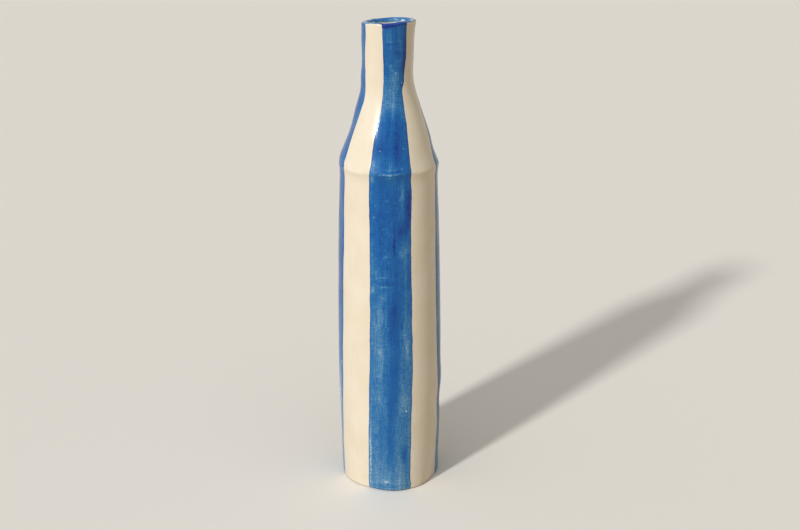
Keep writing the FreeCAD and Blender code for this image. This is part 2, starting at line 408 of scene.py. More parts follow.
def to_points(angle: Floats, radius: Floats, height: Floats) -> Floats:
    """Turns angle, radius and height into points in metres, the front at -Y."""
    turn = np.radians(angle)
    return np.stack(np.broadcast_arrays(radius * np.sin(turn), -radius * np.cos(turn), height), -1) * MM


# Meshes


def grid_quads(rows: int, columns: int, loop_rows: bool, loop_columns: bool) -> Quads:
    """Faces of a grid of points, closed in either direction if asked.

    Args:
        rows: Number of rows of points.
        columns: Number of columns of points.
        loop_rows: Whether the last row joins the first.
        loop_columns: Whether the last column joins the first.

    Returns:
        Four point numbers for each face.
    """
    row = np.arange(rows if loop_rows else rows - 1)[:, None]
    column = np.arange(columns if loop_columns else columns - 1)[None, :]
    next_row, next_column = (row + 1) % rows, (column + 1) % columns
    pairs = ((row, column), (row, next_column), (next_row, next_column), (next_row, column))
    return np.stack([line * columns + place for line, place in pairs], axis=-1).reshape(-1, 4)


def sheet_quads(rows: int, columns: int, loop_columns: bool) -> Quads:
    """Faces of a thin closed sheet: an upper grid, a lower grid turned over, and its rim.

    Args:
        rows: Number of rows of points in each grid.
        columns: Number of columns of points in each grid.
        loop_columns: Whether the sheet closes round on itself.

    Returns:
        Four point numbers for each face, the lower grid's points following the upper's.
    """
    upper = grid_quads(rows, columns, False, loop_columns)
    under = rows * columns
    column = np.arange(columns if loop_columns else columns - 1)
    after = (column + 1) % columns
    last = (rows - 1) * columns
    rims = [(after, column), (last + column, last + after)]
    if not loop_columns:
        row = np.arange(rows - 1) * columns
        end = row + columns - 1
        rims += [(row, row + columns), (end + columns, end)]
    bands = [np.stack([one, two, two + under, one + under], -1) for one, two in rims]
    return np.vstack([upper, upper[:, ::-1] + under, *bands])


def facing_out(points: Floats, quads: Quads) -> Quads:
    """Turns every face over if the closed surface encloses a negative volume.

    Args:
        points: The surface's points.
        quads: Its faces.

    Returns:
        The faces, with the side that they show outwards.
    """
    one, two, three, four = np.moveaxis(points[quads], 1, 0)
    volume = np.einsum("ij,ij->", one, np.cross(two, three) + np.cross(three, four))
    return quads if volume > 0 else quads[:, ::-1]


def make_object(name: str, points: Floats, quads: Quads, crease: float = 42.0) -> Thing:
    """Makes a smooth-shaded object from points and faces.

    Args:
        name: The object's name.
        points: Points in metres, in any shape with a last axis of three.
        quads: Four point numbers for each face.
        crease: Edges that bend by more than this angle stay sharp.

    Returns:
        The new object, in the scene, at the origin.
    """
    flat = points.reshape(-1, 3)
    faces = facing_out(flat, quads)
    mesh = bpy.data.meshes.new(name)
    mesh.vertices.add(len(flat))
    mesh.vertices.foreach_set("co", flat.ravel())
    mesh.loops.add(faces.size)
    mesh.loops.foreach_set("vertex_index", faces.ravel().astype(np.int32))
    mesh.polygons.add(len(faces))
    mesh.polygons.foreach_set("loop_start", np.arange(0, faces.size, 4, dtype=np.int32))
    mesh.update(calc_edges=True)
    mesh.validate()
    mesh.shade_smooth()
    mesh.set_sharp_from_angle(angle=math.radians(crease))
    made = bpy.data.objects.new(name, mesh)
    bpy.context.scene.collection.objects.link(made)
    return made


def merge_doubles(target: Thing, reach: float = MM / 1000) -> None:
    """Merges points that lie on each other, which closes the poles of a disc.

    Args:
        target: The object whose mesh is changed.
        reach: How far apart merged points may be, in metres.
    """
    work = bmesh.new()
    work.from_mesh(target.data)
    bmesh.ops.remove_doubles(work, verts=work.verts, dist=reach)
    work.to_mesh(target.data)
    work.free()


def set_brush_map(target: Thing, across: Floats, along: Floats) -> None:
    """Stores a map in metres that runs across and along a brushed stripe, the same above and under.

    Args:
        target: The stripe.
        across: Distance from its middle, for each point of its upper grid.
        along: Distance up it, for the same points.
    """
    flat = np.tile(np.stack([across.ravel(), along.ravel()], axis=-1) * MM, (2, 1))
    mesh = target.data
    order = np.empty(len(mesh.loops), dtype=np.int32)
    mesh.loops.foreach_get("vertex_index", order)
    layer = mesh.uv_layers.new(name=BRUSH_MAP)
    layer.uv.foreach_set("vector", flat[order].ravel().astype(np.float32))


# Finishes


def add_node(
    tree: Tree, kind: str, inputs: dict[str | int, object], out: str | int = 0, stops: Stops = (),
    **settings: object,
) -> Socket:
    """Adds one node with its settings, its values and its links.

    Args:
        tree: The tree that gets the node.
        kind: Blender's name of the kind of node, after the words that every kind starts with.
        inputs: For each input, by name or number, its value or the socket that feeds it.
        out: The output that is wanted, by name or number.
        stops: Places and sRGB hex values, in rising order, for a node with a colour ramp.
        settings: The node's own settings.

    Returns:
        The wanted output.
    """
    node = tree.nodes.new("ShaderNode" + kind)
    for name, value in settings.items():
        setattr(node, name, value)
    for name, value in inputs.items():
        if isinstance(value, Socket):
            tree.links.new(value, node.inputs[name])
        else:
            node.inputs[name].default_value = value
    elements = node.color_ramp.elements if stops else ()
    for _ in stops[len(elements) :]:
        elements.new(1.0)
    for element, (place, code) in zip(elements, stops):
        element.position = place
        element.color = linear_colour(code)
    return node.outputs[out]


def between(low: float, high: float, most: float | Socket = 1.0) -> dict[str, object]:
    """Inputs with which a Map Range node rises from zero to the most between two levels."""
    return {"From Min": low, "From Max": high, "To Max": most}


def laid(tree: Tree, under: Socket, code: str, pattern: Socket, levels: dict[str, object]) -> Socket:
    """Lays a colour, as sRGB hex, over another as far as a pattern passes between two levels."""
    shown = add_node(tree, "MapRange", {"Value": pattern, **levels})
    return add_node(tree, "Mix", {0: shown, 6: under, 7: linear_colour(code)}, 2, data_type="RGBA")


def seen(tree: Tree) -> Socket:
    """Is one for what the camera sees, straight, mirrored or through glass, and zero for other light.

    Args:
        tree: The tree that gets the nodes.

    Returns:
        The share.
    """
    total = add_node(tree, "LightPath", {}, "Is Camera Ray")
    rays = total.node.outputs
    for name in ("Is Glossy Ray", "Is Transmission Ray"):
        total = add_node(tree, "Math", {0: total, 1: rays[name]}, operation="ADD", use_clamp=True)
    return total


def waves(tree: Tree, place: Socket, size: float, depth: float, **under: Socket) -> Socket:
    """Bends the mesh's normals, or the Normal that is given, by soft waves of a size and a depth."""
    wave = add_node(tree, "TexNoise", {"Scale": per_mm(size), "Detail": 1.0, "Vector": place})
    return add_node(tree, "Bump", {"Height": wave, "Distance": depth * MM, **under})


@dataclass(frozen=True)
class ClearGlaze:
    """The clear gloss glaze over clay and cobalt alike, slightly uneven as an orange's peel.

    It gives the eye a fairly sharp reflection over a softer one.
    """

    roughness: float = 0.32
    coat: float = 0.55
    coat_roughness: float = 0.16
    ior: float = 1.5
    under_gloss: float = 0.1
    peel_size: float = 2.4

    def over(self, tree: Tree, colour: Socket, under: Socket, top: Socket) -> Socket:
        """Lays the glaze over a colour.

        Args:
            tree: The tree that gets the shader.
            colour: The colour under the glaze.
            under: Normals of what is under the glaze.
            top: Normals of the glaze.

        Returns:
            The glazed shader.
        """
        look = {
            "Base Color": colour, "Normal": under, "Coat Normal": top, "Roughness": self.roughness,
            "IOR": self.ior, "Specular IOR Level": self.under_gloss, "Coat Weight": self.coat,
            "Coat Roughness": self.coat_roughness, "Coat IOR": self.ior,
        }
        return add_node(tree, "BsdfPrincipled", look)


@dataclass(frozen=True)
class Finish:
    """What every finish has: a name, a glaze that may cover it, and a shader of its own."""

    name: str = ""
    glaze: ClearGlaze = ClearGlaze()

    def surface(self, tree: Tree) -> Socket:
        """Builds the shader; each finish has its own way."""
        raise NotImplementedError(self.name)

    def make(self) -> bpy.types.Material:
        """Makes the material.

        Returns:
            The material, with this finish's shader.
        """
        material = bpy.data.materials.new(self.name)
        material.use_nodes = True
        tree = material.node_tree
        tree.nodes.clear()
        output = tree.nodes.new("ShaderNodeOutputMaterial")
        tree.links.new(self.surface(tree), output.inputs["Surface"])
        return material


@dataclass(frozen=True)
class ClearGlazedStoneware(Finish):
    """Cream stoneware under a clear gloss glaze, dipped and fired.

    The clay was smoothed with a wet rib, so it has faint upright wipes, shallow waves and soft
    clouds, and a few pinprick iron specks show through the glaze.
    """

    name: str = "clear_glazed_stoneware"
    clouds: Stops = ((0.36, "#ECDFC6"), (0.62, "#F0E4CF"))
    cloud_size: float = 26.0
    cloud_detail: float = 3.0
    cloud_roughness: float = 0.55
    wipe: str = "#E2D2B8"
    wipe_width: float = 2.6
    wipe_stretch: float = 0.12
    wipe_levels: Triple = (0.52, 0.8, 0.35)
    speck: str = "#A98A63"
    speck_spacing: float = 7.5
    speck_levels: Pair = (0.06, 0.03)
    # a broad noise chooses the few specks that show, and how strongly
    rare_size: float = 10.5
    rare_levels: Triple = (0.6, 0.66, 0.55)
    peel_depth: float = 0.022
    rib_size: float = 9.0
    rib_depth: float = 0.05

    def surface(self, tree: Tree) -> Socket:
        """Builds the glaze over the clay, with the rib's shallow waves and the glaze's peel.

        Args:
            tree: The tree that gets the nodes.

        Returns:
            The shader.
        """
        place = add_node(tree, "TexCoord", {}, "Object")
        rib = waves(tree, place, self.rib_size, self.rib_depth)
        peel = waves(tree, place, self.glaze.peel_size, self.peel_depth, Normal=rib)
        return self.glaze.over(tree, self.colour(tree, place), peel, peel)

    def colour(self, tree: Tree, place: Socket) -> Socket:
        """Mixes clouds, wipes and specks.

        Args:
            tree: The tree that gets the nodes.
            place: The coordinates that they follow.

        Returns:
            The colour.
        """
        look = {
            "Scale": per_mm(self.cloud_size), "Detail": self.cloud_detail,
            "Roughness": self.cloud_roughness, "Vector": place,
        }
        cloud = add_node(tree, "TexNoise", look)
        clouds = add_node(tree, "ValToRGB", {"Fac": cloud}, stops=self.clouds)
        stretch = Vector((1, 1, self.wipe_stretch))
        upright = add_node(tree, "Mapping", {"Scale": stretch, "Vector": place})
        wipe = add_node(tree, "TexNoise", {"Scale": per_mm(self.wipe_width), "Vector": upright})
        clay = laid(tree, clouds, self.wipe, wipe, between(*self.wipe_levels))
        rare = add_node(tree, "TexNoise", {"Scale": per_mm(self.rare_size), "Vector": place})
        chosen = add_node(tree, "MapRange", {"Value": rare, **between(*self.rare_levels)})
        speck = add_node(tree, "TexVoronoi", {"Scale": per_mm(self.speck_spacing), "Vector": place})
        return laid(tree, clay, self.speck, speck, between(*self.speck_levels, chosen))


@dataclass(frozen=True)
class BareFootStoneware(Finish):
    """The bare underside, wiped clean of glaze before firing, under the glazed edge of the floor slab.

    Bare stoneware is matt and a little browner than glazed, with fine grog and rubbed streaks. The
    glaze begins a little way up the rounded edge, at an uneven line.
    """

    name: str = "bare_foot_stoneware"
    rubbed: Stops = ((0.35, "#BFA782"), (0.65, "#CDB896"))
    rub_size: float = 7.0
    rub_detail: float = 4.0
    grog: str = "#8F7754"
    grog_size: float = 0.9
    grog_depth: float = 0.06
    grog_levels: Triple = (0.6, 0.72, 0.7)
    roughness: float = 0.85
    ior: float = 1.5
    glaze_line: float = 0.55
    glaze_band: float = 0.35
    line_half: float = 0.1
    above: ClearGlazedStoneware = ClearGlazedStoneware()

    def surface(self, tree: Tree) -> Socket:
        """Builds the slab's shader: bare below the glaze line, glazed above it.

        Args:
            tree: The tree that gets the nodes.

        Returns:
            The shader.
        """
        place = add_node(tree, "TexCoord", {}, "Object")
        look = {"Scale": per_mm(self.rub_size), "Detail": self.rub_detail, "Vector": place}
        rub = add_node(tree, "TexNoise", look)
        streaks = add_node(tree, "ValToRGB", {"Fac": rub}, stops=self.rubbed)
        grit = add_node(tree, "TexNoise", {"Scale": per_mm(self.grog_size), "Vector": place})
        gritty = laid(tree, streaks, self.grog, grit, between(*self.grog_levels))
        rough = add_node(tree, "Bump", {"Height": grit, "Distance": self.grog_depth * MM})
        look = {"Base Color": gritty, "Normal": rough, "Roughness": self.roughness, "IOR": self.ior}
        bare = add_node(tree, "BsdfPrincipled", look)
        height = add_node(tree, "SeparateXYZ", {"Vector": place}, "Z")
        band = self.glaze_band * MM
        wobble = add_node(tree, "MapRange", {"Value": rub, "To Min": -band, "To Max": band})
        line = add_node(tree, "Math", {0: height, 1: wobble}, operation="ADD")
        ends = between((self.glaze_line - self.line_half) * MM, (self.glaze_line + self.line_half) * MM)
        share = add_node(tree, "MapRange", {"Value": line, **ends})
        return add_node(tree, "MixShader", {0: share, 1: bare, 2: self.above.surface(tree)})


@dataclass(frozen=True)
class CobaltUnderglaze(Finish):
    """Cobalt underglaze, brushed on in two passes and covered by the clear glaze.

    Where the brush left little the cream shows through as a paler, greyer blue. Where passes overlap
    it is deep blue. Fine bristle lines run along the brush, and cross lines come from the clay's
    smoothed surface.
    """

    name: str = "cobalt_underglaze"
    # the palest stop also colours the painted glints among the front stripe's dabs
    shades: Stops = (
        (0.0, "#DFE5E6"), (0.14, "#8FB2CE"), (0.3, "#568BB5"), (0.46, "#2A73AC"), (0.6, "#0962A8"),
        (0.76, "#00559D"), (0.9, "#00438F"), (1.0, "#002A8C"),
    )
    # sizes across the brush, along it and off the clay, where the flat brush map never changes
    bristles: Triple = (0.45, 7.0, 1000.0)
    cross_lines: Triple = (5.0, 0.45, 1000.0)
    flecks: Triple = (0.8, 0.8, 0.8)
    # how much bristles, cross lines and flecks add to the paint or take from it
    shares: Triple = (0.1, 0.09, 0.1)
    detail: float = 1.5
    levels: Pair = (0.25, 0.75)
    peel_depth: float = 0.02
    brush_depth: float = 0.02
    mapped: bool = True

    def surface(self, tree: Tree) -> Socket:
        """Builds the shader from the paint stored on the mesh, with bristles, cross lines and flecks.

        Args:
            tree: The tree that gets the nodes.

        Returns:
            The shader.
        """
        paint = add_node(tree, "Attribute", {}, "Fac", attribute_name=PAINT)
        solid = add_node(tree, "TexCoord", {}, "Object")
        flat = add_node(tree, "UVMap", {}, uv_map=BRUSH_MAP) if self.mapped else solid
        layers = zip((flat, flat, solid), (self.bristles, self.cross_lines, self.flecks), self.shares)
        for place, sizes, share in layers:
            scale = Vector([per_mm(size) for size in sizes])
            scaled = add_node(tree, "Mapping", {"Scale": scale, "Vector": place})
            noise = add_node(tree, "TexNoise", {"Scale": 1.0, "Detail": self.detail, "Vector": scaled})
            swing = {"Value": noise, **between(*self.levels, share), "To Min": -share}
            added = add_node(tree, "MapRange", swing, clamp=False)
            paint = add_node(tree, "Math", {0: paint, 1: added}, operation="ADD")
        colour = add_node(tree, "ValToRGB", {"Fac": paint}, stops=self.shades)
        peel = waves(tree, solid, self.glaze.peel_size, self.peel_depth)
        look = {"Height": paint, "Distance": self.brush_depth * MM, "Normal": peel}
        return self.glaze.over(tree, colour, add_node(tree, "Bump", look), peel)


@dataclass(frozen=True)
class StudioPaper(Finish):
    """Matt backdrop paper, which looks pale but throws a warmer, weaker light on the vase."""

    name: str = "studio_paper"
    pale: str = "#EFEAE1"
    thrown: str = "#C4B499"
    glow: float = 0.02
    roughness: float = 0.9
    gloss: float = 0.1

    def surface(self, tree: Tree) -> Socket:
        """Builds the paper for what is seen, and its darker double for other light.

        Args:
            tree: The tree that gets the nodes.

        Returns:
            The shader.
        """
        colour = linear_colour(self.pale)
        look = {
            "Base Color": colour, "Roughness": self.roughness, "Specular IOR Level": self.gloss,
            "Emission Color": colour, "Emission Strength": self.glow,
        }
        paper = add_node(tree, "BsdfPrincipled", look)
        thrown = add_node(tree, "BsdfDiffuse", {"Color": linear_colour(self.thrown)})
        return add_node(tree, "MixShader", {0: seen(tree), 1: thrown, 2: paper})


# Pieces of clay


@dataclass
class Piece:
    """One separate piece of the vase: what it is called, which solid it dresses, and its finish."""

    form: VesselForm
    name: str
    node: str
    slot: Slot
    material: bpy.types.Material
    body: str = "root"
    columns: int = 320

    def angles(self) -> Floats:
        """Angles all the way round, one for each column."""
        return (np.arange(self.columns) * TURN / self.columns)[None, :]

    def build(self) -> Thing:
        """Builds the piece's mesh; each kind of piece has its own way."""
        raise NotImplementedError(self.name)

    def ring(self, *parts: Floats) -> Thing:
        """Makes an object of rows that close both round the vase and round the piece's section."""
        points = np.concatenate(parts)
        return make_object(self.name, points, grid_quads(len(points), self.columns, True, True))

    def sheet(self, outer: Floats, inner: Floats, paint: Floats, loop: bool) -> Thing:
        """Makes a thin closed sheet with paint on it.

        Args:
            outer: Points of its outer skin, row by row.
            inner: Points of its inner skin.
            paint: The amount of paint at each point of a skin.
            loop: Whether the sheet closes round the vase.

        Returns:
            The sheet's object.
        """
        quads = sheet_quads(*paint.shape, loop)
        made = make_object(self.name, np.concatenate([outer, inner]), quads)
        layer = made.data.attributes.new(PAINT, "FLOAT", "POINT")
        layer.data.foreach_set("value", np.tile(paint.ravel(), 2).astype(np.float32))
        return made

    def make(self) -> Thing:
        """Builds the piece, dresses it, and puts it in its place in the frame.

        Returns:
            The finished piece.
        """
        made = self.build()
        made.data.materials.append(self.material)
        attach(made, self.body)
        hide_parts(self.node)
        log.info("%s: %d points, %d faces", made.name, len(made.data.vertices), len(made.data.polygons))
        return made


@dataclass
class FloorSlab(Piece):
    """The round slab under everything, its lower edge rubbed round and its middle a little hollow."""

    dish_radius: float = 25.0
    dish_depth: float = 0.25
    rings: int = 26
    edge_rows: int = 26
    side_rows: int = 8

    def build(self) -> Thing:
        """Builds one closed surface: underside, rounded edge and upper side, each a run of rings.

        The underside rises by the dish's depth from the ring that it stands on to the middle.

        Returns:
            The slab.
        """
        form, angle = self.form, self.angles()
        share = np.linspace(0, 1, self.rings)[:, None]
        radius = share * form.radius(angle, np.float64(0))
        dish = self.dish_depth * (1 - smooth_step(radius, self.dish_radius / 2, self.dish_radius))
        low = form.foot_rounding * (1 - np.cos(np.linspace(0, np.pi / 2, self.edge_rows)[1:, None]))
        rise = np.linspace(form.foot_rounding, form.floor_thickness, self.side_rows)[1:, None]
        edge = form.place(angle, np.vstack([low, rise]))
        top = np.float64(form.floor_thickness)
        upper = to_points(angle, share[::-1][1:] * form.radius(angle, top), top)
        points = np.concatenate([to_points(angle, radius, dish), edge, upper])
        made = make_object(self.name, points, grid_quads(len(points), self.columns, False, True))
        merge_doubles(made)
        return made


@dataclass
class WallRing(Piece):
    """A ring of rolled clay between two heights: outside up, across, and inside down."""

    low: float = 0.0
    high: float = 0.0
    outer_rows: int = 110
    fine_rows: int = 26
    fine_reach: float = 6.5
    inner_rows: int = 44
    fine_at_top: bool = True

    def heights(self) -> Floats:
        """Heights of the outer rows, closer together next to the seam.

        Returns:
            The heights, as a column.
        """
        middle, rows = self.low + self.fine_reach, (self.fine_rows, self.outer_rows)
        if self.fine_at_top:
            middle, rows = self.high - self.fine_reach, rows[::-1]
        lower = np.linspace(self.low, middle, rows[0])[:-1]
        return np.concatenate([lower, np.linspace(middle, self.high, rows[1])])[:, None]

    def build(self) -> Thing:
        """Builds the ring as a grid that closes both round the vase and round the wall's section."""
        angle, down = self.angles(), np.linspace(self.high, self.low, self.inner_rows)[:, None]
        return self.ring(self.form.place(angle, self.heights()), self.form.inside(angle, down))


@dataclass
class NeckCollar(Piece):
    """The rolled collar, from the cone to the tilted mouth, with its rounded lip."""

    outer_rows: int = 80
    lip_rows: int = 22
    inner_rows: int = 44

    def build(self) -> Thing:
        """Builds the collar as one closed section carried round: outside up, over the lip, inside down.

        Returns:
            The collar.
        """
        form, angle = self.form, self.angles()
        foot = form.neck_foot_height
        rise = form.mouth(angle) - form.lip_height - foot
        outer = form.place(angle, foot + np.linspace(0, 1, self.outer_rows)[:, None] * rise)
        lip = form.lip(angle, np.linspace(0, TURN / 2, self.lip_rows)[1:-1, None])
        inner = form.inside(angle, foot + np.linspace(1, 0, self.inner_rows)[:, None] * rise)
        return self.ring(outer, lip, inner)


@dataclass
class SeamCoil(Piece):
    """A coil of clay pressed along a joint on the inside, with the marks of the fingers."""

    low: float = 0.0
    high: float = 0.0
    reach: float = 4.0
    press: float = 0.45
    presses: int = 17
    sway: float = 25.0
    sways: int = 3
    sink: float = 0.4
    section_rows: int = 26

    def build(self) -> Thing:
        """Builds a closed section carried round the joint.

        Its free side bulges inwards by the reach times a half wave, less a dent for each finger. Its
        other side lies a little inside the clay.

        Returns:
            The coil.
        """
        form, angle = self.form, self.angles()
        share = np.linspace(0, 1, self.section_rows)[:, None]
        height = self.low + share * (self.high - self.low)
        level = form.lifted(angle, height)
        wall = form.radius(angle, height) - form.thickness(height)
        turn = self.presses * angle + self.sway * np.sin(np.radians(self.sways * angle))
        dent = self.press * (0.5 + 0.5 * np.cos(np.radians(turn)))
        free = to_points(angle, wall - (self.reach - dent) * self.belly(share), level)
        return self.ring(free, to_points(angle, (wall + self.sink)[::-1], level[::-1]))

    def belly(self, share: Floats) -> Floats:
        """How far the section stands in at each share of its height: a half wave."""
        return np.sin(np.pi * share)


@dataclass
class CornerCoil(SeamCoil):
    """The coil in the corner of the floor and the wall, thickest at the floor."""

    hollow: float = 1.7

    def belly(self, share: Floats) -> Floats:
        """A hollow quarter: all of the reach at the floor, none at its upper edge."""
        return (1 - share) ** self.hollow


# Painted pieces


@dataclass
class BrushedStripe(Piece):
    """One broad stripe from the lip to the foot, a thin skin over the clay with feathered edges."""

    left_edge: Places = ()
    right_edge: Places = ()
    # each row is one Bell, whose place is a share of the stripe's width
    dabs: Rows = ()
    tone: Places = (
        (0, 0.39), (25, 0.41), (60, 0.48), (100, 0.54), (140, 0.61), (165, 0.67), (200, 0.69),
        (213, 0.62), (228, 0.68), (243, 0.6), (257, 0.5), (275, 0.58), (301, 0.6),
    )
    overlap_share: float = 0.54
    overlap_half: float = 3.4
    overlap_amount: Places = ((0, 0.05), (40, 0.08), (120, 0.11), (150, 0.07), (200, 0.03), (301, 0.0))
    # rows of random fields have an amount, a cell's width and length, and a seed
    overlap_sway: Rows = ((1.2, 1.0, 24.0, 3),)
    side_sway: Rows = ((0.16, 1.0, 9.0, 0), (0.08, 1.0, 2.2, 7))
    # two widths of bristle streaks, then three sizes of cloud
    uneven: Rows = (
        (0.07, 0.8, 22, 11), (0.06, 1.9, 48, 12), (0.05, 7, 11, 13), (0.06, 2.6, 4.2, 14),
        (0.04, 1.1, 1.3, 15),
    )
    # the share of it that is left at the foot, and the heights between which it grows to the whole
    even_foot: float = 0.6
    even_heights: Pair = (60, 130)
    # how far the outlines of dabs stray, across and up
    stray_across: Rows = ((0.5, 1.6, 1.6, 16),)
    stray_up: Rows = ((0.6, 1.6, 1.6, 17),)
    # the amount, the distance from the edge and the half width of lines along it
    edge_lines: Rows = ((0.2, 0.0, 0.45), (-0.05, 1.5, 0.8))
    # paint worn off the seam's ridge, here and there
    scuff: float = 0.3
    scuff_rise: float = 0.2
    scuff_half: float = 0.55
    scuff_rag: Rows = ((1.0, 3.4, 1.0, 18),)
    scuff_level: float = 0.35
    seed: int = 0
    columns: int = 72
    rows: int = 600
    crowd: float = 0.35
    foot: float = 0.35
    top_under_band: float = 0.95
    feather: float = 0.7
    lift: float = 0.1
    rim_lift: float = 0.02
    sink: float = 0.1

    def build(self) -> Thing:
        """Builds the skin on a grid of shares across the stripe and heights up the vase.

        An upper surface stands off the clay by the lift, which fades towards the edges. A lower one
        lies just inside the clay. Both use the vase's own form, so the skin follows every swell.
        Columns crowd towards both edges by a sine wave.

        Returns:
            The stripe.
        """
        form = self.form
        even = np.linspace(0, 1, self.columns)[None, :]
        share = even - self.crowd * np.sin(2 * np.pi * even) / (2 * np.pi)
        top_angle = self.left_edge[-1][1] + share * (self.right_edge[-1][1] - self.left_edge[-1][1])
        top = form.mouth(top_angle) - self.top_under_band
        height = self.foot + np.linspace(0, 1, self.rows)[:, None] * (top - self.foot)
        size = form.profile(height)
        left, right = (
            smooth_curve(height, edge) + np.degrees(self.sway(height, self.side_sway, side) / size)
            for side, edge in ((1, self.left_edge), (2, self.right_edge))
        )
        angle = left + share * (right - left)
        width = np.radians(right - left) * size
        across = (share - 0.5) * width
        edge = np.minimum(np.minimum(share, 1 - share) * width, height - self.foot)
        lift = self.rim_lift + self.lift * smooth_step(edge, 0, self.feather)
        outer, inner = (form.place(angle, height, offset) for offset in (lift, -self.sink))
        made = self.sheet(outer, inner, self.density(across, share, height, edge), False)
        set_brush_map(made, across, height)
        return made

    def sway(self, height: Floats, layers: Rows, shift: int = 0) -> Floats:
        """How far the brush strayed from its line, which changes with the height alone."""
        return grained(height * 0, height, layers, self.seed + shift)

    def density(self, across: Floats, share: Floats, height: Floats, edge: Floats) -> Floats:
        """How much paint lies at each point, from 0 for none to 1 for the deepest.

        A tone that changes up the stripe, plus the overlap of the two brush passes, bristle streaks,
        clouds and single dabs, with more paint along the edges and less on the seam's ridge. Edges
        and ridge are bells, and the overlap is one with a flat top, by the fourth power.

        Args:
            across: Distance from the stripe's middle.
            share: Share of the stripe's width, from its left edge.
            height: Height up the vase.
            edge: Distance from the nearest edge.

        Returns:
            The amount of paint.
        """
        width = across[:, -1:] - across[:, :1]
        line = (share - self.overlap_share) * width + self.sway(height, self.overlap_sway)
        overlap = smooth_curve(height, self.overlap_amount) * np.exp(-((line / self.overlap_half) ** 4))
        wild = self.even_foot + (1 - self.even_foot) * smooth_step(height, *self.even_heights)
        uneven = grained(across, height, self.uneven, self.seed) * wild
        paint = smooth_curve(height, self.tone) + overlap + uneven
        stray_across = grained(across, height, self.stray_across, self.seed)
        stray_up = grained(across, height, self.stray_up, self.seed)
        for dab in (Bell(*row) for row in self.dabs):
            aside = (share - dab.place) * width + stray_across * min(1, dab.half_width)
            up = height - dab.height + stray_up * min(1, dab.half_height)
            paint = paint + dab.at(aside, up)
        for amount, middle, half in self.edge_lines:
            paint = paint + amount * np.exp(-(((edge - middle) / half) ** 2))
        rag = grained(across, height * 0, self.scuff_rag, self.seed)
        ragged = smooth_step(rag, -self.scuff_level, self.scuff_level)
        ridge = self.form.seam_height + self.scuff_rise
        return paint - self.scuff * ragged * np.exp(-(((height - ridge) / self.scuff_half) ** 2))


